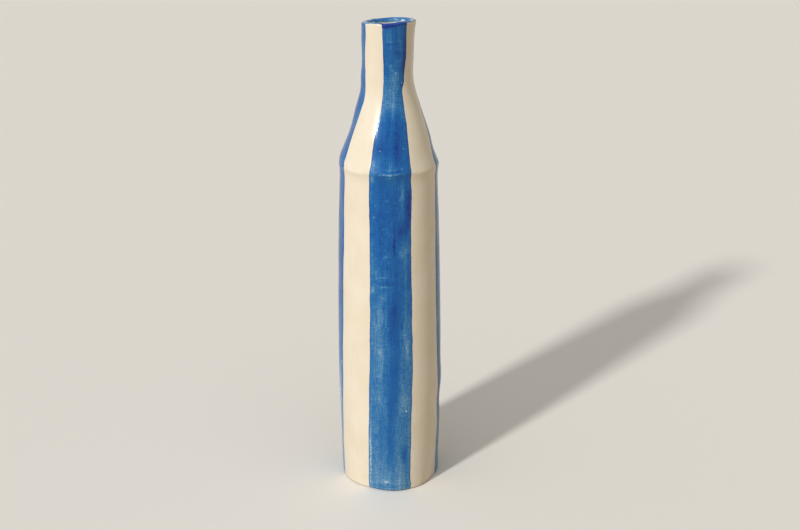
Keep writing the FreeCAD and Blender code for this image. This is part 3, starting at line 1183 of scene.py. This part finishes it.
@dataclass
class LipBand(Piece):
    """The band of cobalt brushed over the lip, deeper where a stripe meets it."""

    columns: int = 720
    outer_rows: int = 20
    inner_rows: int = 18
    lift: float = 0.07
    rim_lift: float = 0.13
    sink: float = 0.06
    feather: float = 0.5
    outer_depth: Places = (
        (-178, 1.9), (-160, 1.5), (-148, 0.5), (-125, 0.4), (-112, 1.5), (-90, 1.8), (-62, 1.5),
        (-55, 0.4), (-12.4, 0.36), (-10.9, 2.7), (0, 2.4), (15, 2.0), (30, 1.7), (42, 1.5),
        (46, 0.5), (84, 0.5), (92, 1.5), (120, 1.8), (136, 1.6), (144, 0.5), (166, 0.5), (173, 1.6),
    )
    inner_depth: Places = (
        (-170, 2.4), (-140, 2.2), (-80, 2.2), (-30, 1.8), (20, 2.0), (70, 1.8), (110, 2.0), (150, 2.6),
    )
    # the height, the length from crest to crest and the seed of each edge's ripple
    outer_ripple: Triple = (0.1, 2.6, 31)
    inner_ripple: Triple = (0.18, 4.0, 32)
    # the crest's paint round the lip; its pale stretches are partly thin paint and partly a painted
    # highlight of the glaze
    crest_tone_and_highlight: Places = (
        (-178, 0.36), (-120, 0.3), (-90, 0.36), (-55, 0.3), (-20, 0.36), (-11, 0.92), (20, 0.98),
        (40, 0.85), (55, 0.22), (100, 0.16), (130, 0.32), (160, 0.42),
    )
    tone: Places = (
        (-178, 0.8), (-160, 0.7), (-145, 0.45), (-125, 0.4), (-112, 0.7), (-90, 0.75), (-62, 0.7),
        (-54, 0.4), (-13, 0.38), (-10.8, 0.98), (20, 1.0), (42, 0.85), (48, 0.5), (82, 0.5),
        (92, 0.7), (120, 0.75), (138, 0.6), (150, 0.45), (166, 0.5), (174, 0.75),
    )
    inner_tone: float = 0.62
    crest_share: float = 0.95
    crest_half: float = 0.42
    worn: float = 0.42
    worn_depths: Pair = (0.5, 1.2)
    # rows of random fields, with an amount, a cell's width and length, and a seed
    inner_grain: Rows = ((0.15, 9, 3, 41),)
    worn_grain: Rows = ((0.25, 2.2, 1.4, 45),)
    crest_grain: Rows = ((0.2, 3.0, 1, 44),)
    uneven: Rows = ((0.1, 2.4, 0.8, 42), (0.08, 5.5, 2.0, 43))

    def build(self) -> Thing:
        """Builds the band over the lip, row by row from its outer edge to its inner edge.

        The depth below the lip's top falls as the square of the share up each side, which spaces
        the rows evenly over the round. Below the round the band lies straight on the wall.

        Returns:
            The band.
        """
        angle = self.angles()
        outer, inner = (
            smooth_curve(angle, depths, TURN) + self.form.seam_ripple(angle, *ripple)
            for depths, ripple in (
                (self.outer_depth, self.outer_ripple), (self.inner_depth, self.inner_ripple),
            )
        )
        up, down = np.linspace(1, 0, self.outer_rows), np.linspace(0, 1, self.inner_rows)[1:]
        share = np.concatenate([up, down])[:, None]
        inwards = (np.arange(len(share)) >= len(up))[:, None]
        reach = np.where(inwards, inner, outer)
        depth = reach * share**2
        lift = self.rim_lift + self.lift * smooth_step(reach - depth, 0, self.feather)
        skins = [self.skin(angle, depth, inwards, offset) for offset in (lift, -self.sink)]
        return self.sheet(*skins, self.density(angle, depth, inwards), True)

    def skin(self, angle: Floats, depth: Floats, inwards: Floats, offset: Floats | float) -> Floats:
        """Points at a depth below the lip's top, on its outer or its inner side.

        Args:
            angle: Angle round the axis.
            depth: Depth below the top of the clay's lip.
            inwards: Whether each row is on the inner side.
            offset: Distance off the clay.

        Returns:
            Points in metres.
        """
        form = self.form
        rise = np.degrees(np.arcsin(np.clip(1 - depth / form.lip_height, 0, 1)))
        points = form.lip(angle, np.where(inwards, TURN / 2 - rise, rise), offset)
        points[..., 2] -= np.clip(depth - form.lip_height, 0, None) * MM
        return points

    def density(self, angle: Floats, depth: Floats, inwards: Floats) -> Floats:
        """How much paint lies on the band: thick low down, paler on the top, partly thin paint where
        the glaze breaks and partly a painted highlight.

        The pale crest is a bell with a flat top, by the fourth power of the depth.

        Args:
            angle: Angle round the axis.
            depth: Depth below the lip's top.
            inwards: Whether each row is on the inner side.

        Returns:
            The amount of paint.
        """
        girth = np.radians(angle) * self.form.mouth_radius + np.zeros_like(depth)
        wear = self.worn + grained(girth, depth, self.worn_grain)
        inner = self.inner_tone + grained(girth, depth, self.inner_grain)
        inner = inner - smooth_step(depth, *self.worn_depths) * wear
        paint = np.where(inwards, inner, smooth_curve(angle, self.tone, TURN))
        crest = smooth_curve(angle, self.crest_tone_and_highlight, TURN) + grained(girth, depth * 0, self.crest_grain)
        thin = self.crest_share * np.exp(-((depth / self.crest_half) ** 4))
        return paint + (crest - paint) * thin + grained(girth, depth, self.uneven)


# The stripes' own shapes

FRONT_LEFT_EDGE: Places = (
    (0, -27.4), (2, -27.3), (25, -25.6), (46, -24.1), (66, -23.4), (86, -22.5), (114, -21.2),
    (142, -21.0), (169, -21.3), (195, -22.3), (210, -21.8), (214, -21.4), (218.4, -20.4),
    (229, -19.4), (240, -16.8), (251, -11.7), (262, -10.2), (269.7, -8.7), (289, -10.8), (301, -11.3),
)
FRONT_RIGHT_EDGE: Places = (
    (0, 24.6), (4, 25.2), (6, 24.7), (14.6, 23.8), (25, 24.1), (35.5, 24.5), (65.7, 25.1),
    (95, 26.2), (104, 25.8), (141.7, 25.5), (168.7, 25.2), (186, 25.8), (203.5, 27.3), (209.8, 26.4),
    (217, 26.2), (223.7, 26.6), (232.7, 28.3), (249.7, 30.1), (260, 30.4), (263.2, 33.2),
    (264.6, 35.6), (270.3, 38.6), (284.2, 43.7), (301, 43.0),
)
LEFT_FRONT_EDGE: Places = (
    (0, -73), (14, -72.3), (24.6, -72.6), (36, -70.1), (57, -67.3), (78, -65.4), (98, -64.0),
    (127, -61.7), (155, -61.8), (164, -60.8), (191, -62.3), (206, -61.7), (214, -61.6),
    (217.4, -62.5), (221, -61.5), (228, -61.9), (235.4, -61.2), (242.6, -58.3), (250, -55.3),
    (254, -53.5), (258, -53.8), (262, -55.3), (271, -56.1), (275, -58.8), (281, -59.2),
    (293, -56.4), (301, -57.0),
)
LEFT_BACK_EDGE: Places = (
    (0, -123), (30, -121), (70, -115), (120, -109.5), (170, -110.5), (214, -109), (240, -107),
    (258, -104), (275, -109), (301, -107),
)
RIGHT_FRONT_EDGE: Places = (
    (0, 71), (25, 69.8), (44, 70.4), (93, 66.2), (128, 64.6), (172, 66.2), (204, 69.5),
    (214, 68.5), (218, 69.2), (224, 73), (235, 77.5), (245, 82), (256, 86), (270, 88), (285, 89),
    (301, 88),
)
RIGHT_BACK_EDGE: Places = (
    (0, 121), (40, 118), (90, 112.5), (140, 112), (190, 114), (214, 116), (235, 124),
    (256, 135), (275, 139), (301, 137),
)
BACK_RIGHT_EDGE: Places = (
    (0, 156), (35, 158), (80, 157), (130, 159.5), (180, 158), (214, 160), (236, 164), (257, 170),
    (276, 172), (301, 170.5),
)
BACK_LEFT_EDGE: Places = (
    (0, 208), (40, 207), (90, 204.5), (140, 205.5), (190, 204), (214, 205.5), (236, 210),
    (257, 216), (276, 219), (301, 217),
)

# each row is one Bell, whose place is a share of the stripe's width, from the mouth down
FRONT_DABS: Rows = (
    # the neck
    # the white speck at 0.06, 297 is a painted glint
    (0.06, 297.0, 0.28, 0.24, -1.0), (0.2, 293, 1.6, 3.5, -0.18), (0.64, 293.5, 0.7, 5.0, -0.2),
    (0.27, 289.3, 3.0, 0.35, -0.3), (0.35, 288.2, 4.0, 0.5, 0.2), (0.6, 284.8, 3.4, 0.4, -0.2),
    # the deep band at 0.93, 280 is thick paint along the edge with painted shade of the side turned
    # from the lamp
    (0.65, 282.7, 3.5, 1.4, 0.18), (0.93, 280, 1.6, 17.0, 0.45), (0.03, 279, 0.6, 8.0, 0.22),
    (0.3, 275.3, 0.9, 1.0, -0.28), (0.37, 273, 0.9, 0.5, -0.25), (0.55, 271.3, 0.8, 1.1, -0.28),
    # the white spot at 0.87, 265.2 is a painted glint beside the dark tick at 0.95, 264
    (0.45, 268.5, 4.5, 8.0, -0.14), (0.87, 265.2, 0.5, 0.35, -0.6), (0.95, 264, 0.9, 0.4, 0.5),
    # the cone
    (0.4, 253.5, 4.0, 6.0, -0.18), (0.02, 254.5, 0.4, 0.5, 0.6), (0.68, 231, 3.6, 17.0, 0.18),
    # the white spots at 0.2, 227.3 and 0.84, 228 are painted glints on pinholes
    (0.2, 228, 2.6, 3.0, 0.08), (0.19, 227.9, 0.7, 0.6, 0.2), (0.2, 227.3, 0.35, 0.3, -1.0),
    (0.84, 228, 0.45, 0.35, -0.6), (0.13, 220, 2.0, 3.5, -0.22), (0.5, 219, 1.6, 4.0, -0.18),
    (0.78, 216.4, 1.0, 0.8, -0.3), (0.4, 216.5, 3.0, 0.8, -0.22), (0.62, 216.3, 0.8, 0.6, -0.3),
    (0.66, 215.2, 1.8, 1.0, 0.25),
    # the shoulder, where paint wore off the seam
    (0.3, 213.6, 3.6, 0.5, -0.25), (0.47, 213.2, 2.6, 0.45, -0.15), (0.5, 211.6, 2.4, 0.6, -0.18),
    (0.8, 213.7, 2.6, 0.4, -0.15), (0.09, 211, 1.5, 4.0, -0.15),
    # the upper body
    (0.76, 199, 1.8, 9.0, -0.26), (0.78, 200.5, 1.2, 4.0, -0.15), (0.93, 190, 2.2, 14.0, 0.28),
    (0.75, 179, 3.0, 6.0, 0.2), (0.585, 171, 0.9, 12.0, 0.34), (0.43, 197.5, 0.7, 0.6, -0.3),
    (0.13, 194.5, 0.6, 0.9, -0.22), (0.11, 187, 0.8, 0.8, -0.28), (0.63, 192.8, 0.5, 0.8, -0.25),
    (0.61, 196.5, 0.5, 0.9, -0.22), (0.52, 184, 0.5, 1.0, -0.25), (0.33, 179.9, 0.9, 0.5, -0.35),
    (0.35, 176.7, 0.5, 1.0, -0.25), (0.37, 167.3, 0.7, 0.6, -0.35), (0.39, 162.6, 1.4, 0.9, -0.33),
    (0.44, 159.2, 0.8, 0.6, -0.25), (0.82, 165, 4.0, 13.0, -0.24), (0.06, 165, 0.9, 22.0, -0.18),
    (0.2, 152.5, 2.6, 4.0, -0.16), (0.3, 149.5, 2.6, 0.35, -0.3), (0.48, 145.8, 4.2, 1.3, 0.2),
    (0.36, 143.3, 4.5, 0.6, -0.25), (0.08, 141, 1.4, 2.2, -0.25),
    # the middle
    (0.57, 122, 3.0, 18.0, 0.16), (0.31, 136.5, 2.4, 2.8, -0.2), (0.31, 129.5, 0.5, 0.5, 0.3),
    (0.37, 129.2, 0.4, 0.4, 0.2), (0.2, 103, 4.6, 34.0, -0.18), (0.85, 110, 3.6, 34.0, -0.16),
    (0.75, 118, 0.9, 4.0, 0.24), (0.75, 106, 0.8, 3.0, 0.2), (0.865, 100, 0.9, 10.0, -0.2),
    (0.53, 70, 3.0, 30.0, 0.1),
    # the lower body
    # the white spot at 0.87, 58.6 is a painted glint on a pinhole
    (0.79, 65, 3.2, 8.0, -0.2), (0.45, 64.7, 0.55, 0.55, 0.5), (0.87, 58.6, 0.45, 0.45, -1.0),
    (0.18, 41, 2.2, 1.8, 0.15), (0.5, 31, 2.6, 9.0, 0.14), (0.85, 27, 1.7, 6.0, 0.3),
    (0.05, 25, 0.9, 20.0, -0.22), (0.5, 7, 13.0, 7.0, -0.08), (0.5, 6.4, 8.0, 0.35, -0.18),
    (0.4, 3.6, 9.0, 0.3, 0.18), (0.7, 8.6, 3.0, 0.3, -0.14), (0.44, 7.2, 1.6, 0.7, -0.25),
    (0.49, 5.5, 0.9, 0.6, 0.3), (0.66, 4.5, 1.2, 0.4, 0.2),
)


def chance_dabs(seed: int, count: int = 44, low: float = 4.0, top: float = 296.0) -> Rows:
    """Dabs at random places, for the stripes that the photograph doesn't show.

    Args:
        seed: Seed of the random places.
        count: How many small dabs there are; long ones are half as many.
        low: Height of the lowest dab.
        top: Height of the highest.

    Returns:
        Small pale and dark dabs, and a few long ones.
    """
    rng = np.random.default_rng(seed)
    # how many, then the spans of share, height, half width and half height, and the amounts
    kinds = (
        (count, (0.05, 0.95), (low, top), (0.4, 1.6), (0.4, 1.6), (-0.3, -0.24, 0.24)),
        (count // 2, (0.08, 0.92), (low + 6, top - 10), (0.9, 3.4), (6, 26), (-0.22, -0.18, 0.22)),
    )
    return tuple(
        (*(float(rng.uniform(*span)) for span in spans), float(rng.choice(amounts)))
        for number, *spans, amounts in kinds
        for _ in range(number)
    )


# Studio


@dataclass(frozen=True)
class Studio:
    """A pale floor, a small lamp at the front left, a weak broad one overhead, and the camera.

    The floor and the air round it look pale, but give the vase little light of their own, so that
    its right side stays in shade.
    """

    paper: StudioPaper = StudioPaper()
    air_colour: str = "#DBD7CD"
    air_light: Stops = ((0.2, "#807768"), (0.8, "#A6ABB1"))
    floor_half: float = 9000.0
    key_azimuth: float = -41.0
    key_elevation: float = 30.0
    key_strength: float = 2.28
    key_width: float = 5.0
    top_azimuth: float = 20.0
    top_elevation: float = 78.0
    top_strength: float = 0.45
    top_width: float = 60.0
    camera_place: Triple = (6.81, -667.5, 384.4)
    camera_pitch: float = 19.634
    camera_roll: float = -0.182
    lens: float = 50.0
    sensor: float = 36.0
    # the nearest and the farthest that the camera sees, in metres
    sight: Pair = (0.01, 100.0)

    def build(self) -> None:
        """Puts up the floor, the lamps, the world and the camera."""
        self.floor()
        self.lamp("key", self.key_azimuth, self.key_elevation, self.key_strength, self.key_width)
        self.lamp("overhead", self.top_azimuth, self.top_elevation, self.top_strength, self.top_width)
        self.world()
        self.camera()
        bpy.context.scene.view_settings.view_transform = "Standard"

    def put(self, name: str, data: bpy.types.ID, *moves: Matrix) -> Thing:
        """Adds an object to the scene and moves it, the last move first.

        Args:
            name: The object's name.
            data: Its mesh, light or camera.
            moves: Where it goes and how it turns.

        Returns:
            The object.
        """
        thing = bpy.data.objects.new(name, data)
        for move in moves:
            thing.matrix_world = thing.matrix_world @ move
        bpy.context.scene.collection.objects.link(thing)
        return thing

    def turned(self, angle: float, axis: str) -> Matrix:
        """A turn about an axis."""
        return Matrix.Rotation(math.radians(angle), 4, axis)

    def floor(self) -> None:
        """Lays the plain floor that the vase stands on."""
        half = self.floor_half * MM
        mesh = bpy.data.meshes.new("floor")
        corners = [(-half, -half, 0), (half, -half, 0), (half, half, 0), (-half, half, 0)]
        mesh.from_pydata(corners, [], [(0, 1, 2, 3)])
        mesh.materials.append(self.paper.make())
        floor = self.put("floor", mesh)

    def lamp(self, name: str, azimuth: float, elevation: float, strength: float, width: float) -> None:
        """Hangs one far lamp.

        Args:
            name: The lamp's name.
            azimuth: Angle from the front towards the right.
            elevation: Angle above the floor.
            strength: Light that it gives a surface that faces it.
            width: Angle that it fills, seen from the vase.
        """
        light = bpy.data.lights.new(name, "SUN")
        light.energy = strength
        light.angle = math.radians(width)
        self.put(name, light, self.turned(azimuth, "Z"), self.turned(90 - elevation, "X"))

    def world(self) -> None:
        """Fills the studio with a weak light, fuller on the lamp's side and dim and warm behind."""
        world = bpy.data.worlds.new("studio")
        world.use_nodes = True
        tree = world.node_tree
        way = add_node(tree, "TexCoord", {}, "Generated")
        azimuth = math.radians(self.key_azimuth)
        towards = Vector((math.sin(azimuth), -math.cos(azimuth), 0.0))
        facing = add_node(tree, "VectorMath", {0: way, 1: towards}, "Value", operation="DOT_PRODUCT")
        share = add_node(tree, "MapRange", {"Value": facing, "From Min": -1.0})
        light = add_node(tree, "ValToRGB", {"Fac": share}, stops=self.air_light)
        shown = {0: seen(tree), 6: light, 7: linear_colour(self.air_colour)}
        air = add_node(tree, "Mix", shown, 2, data_type="RGBA")
        tree.links.new(air, tree.nodes["Background"].inputs["Color"])
        bpy.context.scene.world = world

    def camera(self) -> None:
        """Sets the camera where the photograph was taken from."""
        data = bpy.data.cameras.new("camera")
        data.lens = self.lens
        data.sensor_width = self.sensor
        data.clip_start, data.clip_end = self.sight
        place = Matrix.Translation(Vector(self.camera_place) * MM)
        tilt, roll = self.turned(90 - self.camera_pitch, "X"), self.turned(self.camera_roll, "Z")
        bpy.context.scene.camera = self.put("camera", data, place, tilt, roll)


# Putting it together


def make_vase() -> list[Thing]:
    """Builds and dresses every piece of the vase.

    Returns:
        The finished pieces.
    """
    form = VesselForm()
    glazed = ClearGlazedStoneware().make()
    foot = BareFootStoneware().make()
    cobalt = CobaltUnderglaze().make()
    # the lip band has no brush map, so its cobalt has flecks alone
    lip_cobalt = CobaltUnderglaze("cobalt_underglaze_lip", shares=(0.0, 0.0, 0.1), mapped=False).make()
    clay, blue = Slot.GLAZED_CLAY, Slot.COBALT
    floor, seam, neck = form.floor_thickness, form.seam_height, form.neck_foot_height
    coil_height, coil_half = 4.0, 4.5
    pieces: list[Piece] = [
        FloorSlab(form, "glazed_floor_slab", "floor_slab", Slot.BARE_FOOT, foot),
        WallRing(form, "glazed_body_wall", "body_wall", clay, glazed, low=floor, high=seam),
        WallRing(
            form, "glazed_shoulder_cone", "shoulder_cone", clay, glazed,
            low=seam, high=neck, outer_rows=50, inner_rows=24, fine_at_top=False,
        ),
        NeckCollar(form, "glazed_neck_collar", "neck_collar", clay, glazed),
        CornerCoil(
            form, "pressed_floor_coil", "floor_seam_coil", clay, glazed,
            low=floor, high=floor + coil_height,
        ),
        SeamCoil(
            form, "pressed_shoulder_coil", "shoulder_seam_coil", clay, glazed,
            low=seam - coil_half, high=seam + coil_half, reach=2.5, presses=23,
        ),
    ]
    # the node, both edges, the dabs, the seed and where the two passes of the brush overlap
    stripes = (
        ("front_stripe", FRONT_LEFT_EDGE, FRONT_RIGHT_EDGE, FRONT_DABS, 100, 0.54),
        ("right_stripe", RIGHT_FRONT_EDGE, RIGHT_BACK_EDGE, chance_dabs(21), 200, 0.42),
        ("back_stripe", BACK_RIGHT_EDGE, BACK_LEFT_EDGE, chance_dabs(22), 300, 0.6),
        ("left_stripe", LEFT_BACK_EDGE, LEFT_FRONT_EDGE, chance_dabs(23), 400, 0.48),
    )
    for node, left, right, dabs, seed, overlap in stripes:
        stripe = BrushedStripe(
            form, f"brushed_{node}", node, blue, cobalt,
            left_edge=left, right_edge=right, dabs=dabs, seed=seed, overlap_share=overlap,
        )
        pieces.append(stripe)
    pieces.append(LipBand(form, "brushed_lip_band", "lip_band", blue, lip_cobalt))
    return [piece.make() for piece in pieces]


def main() -> None:
    """Sets up the studio, makes the vase, and reports each piece."""
    logging.basicConfig(level=logging.INFO, format="%(message)s")
    Studio().build()
    made = make_vase()
    log.info("%d pieces made", len(made))


if __name__ == "__main__":
    main()
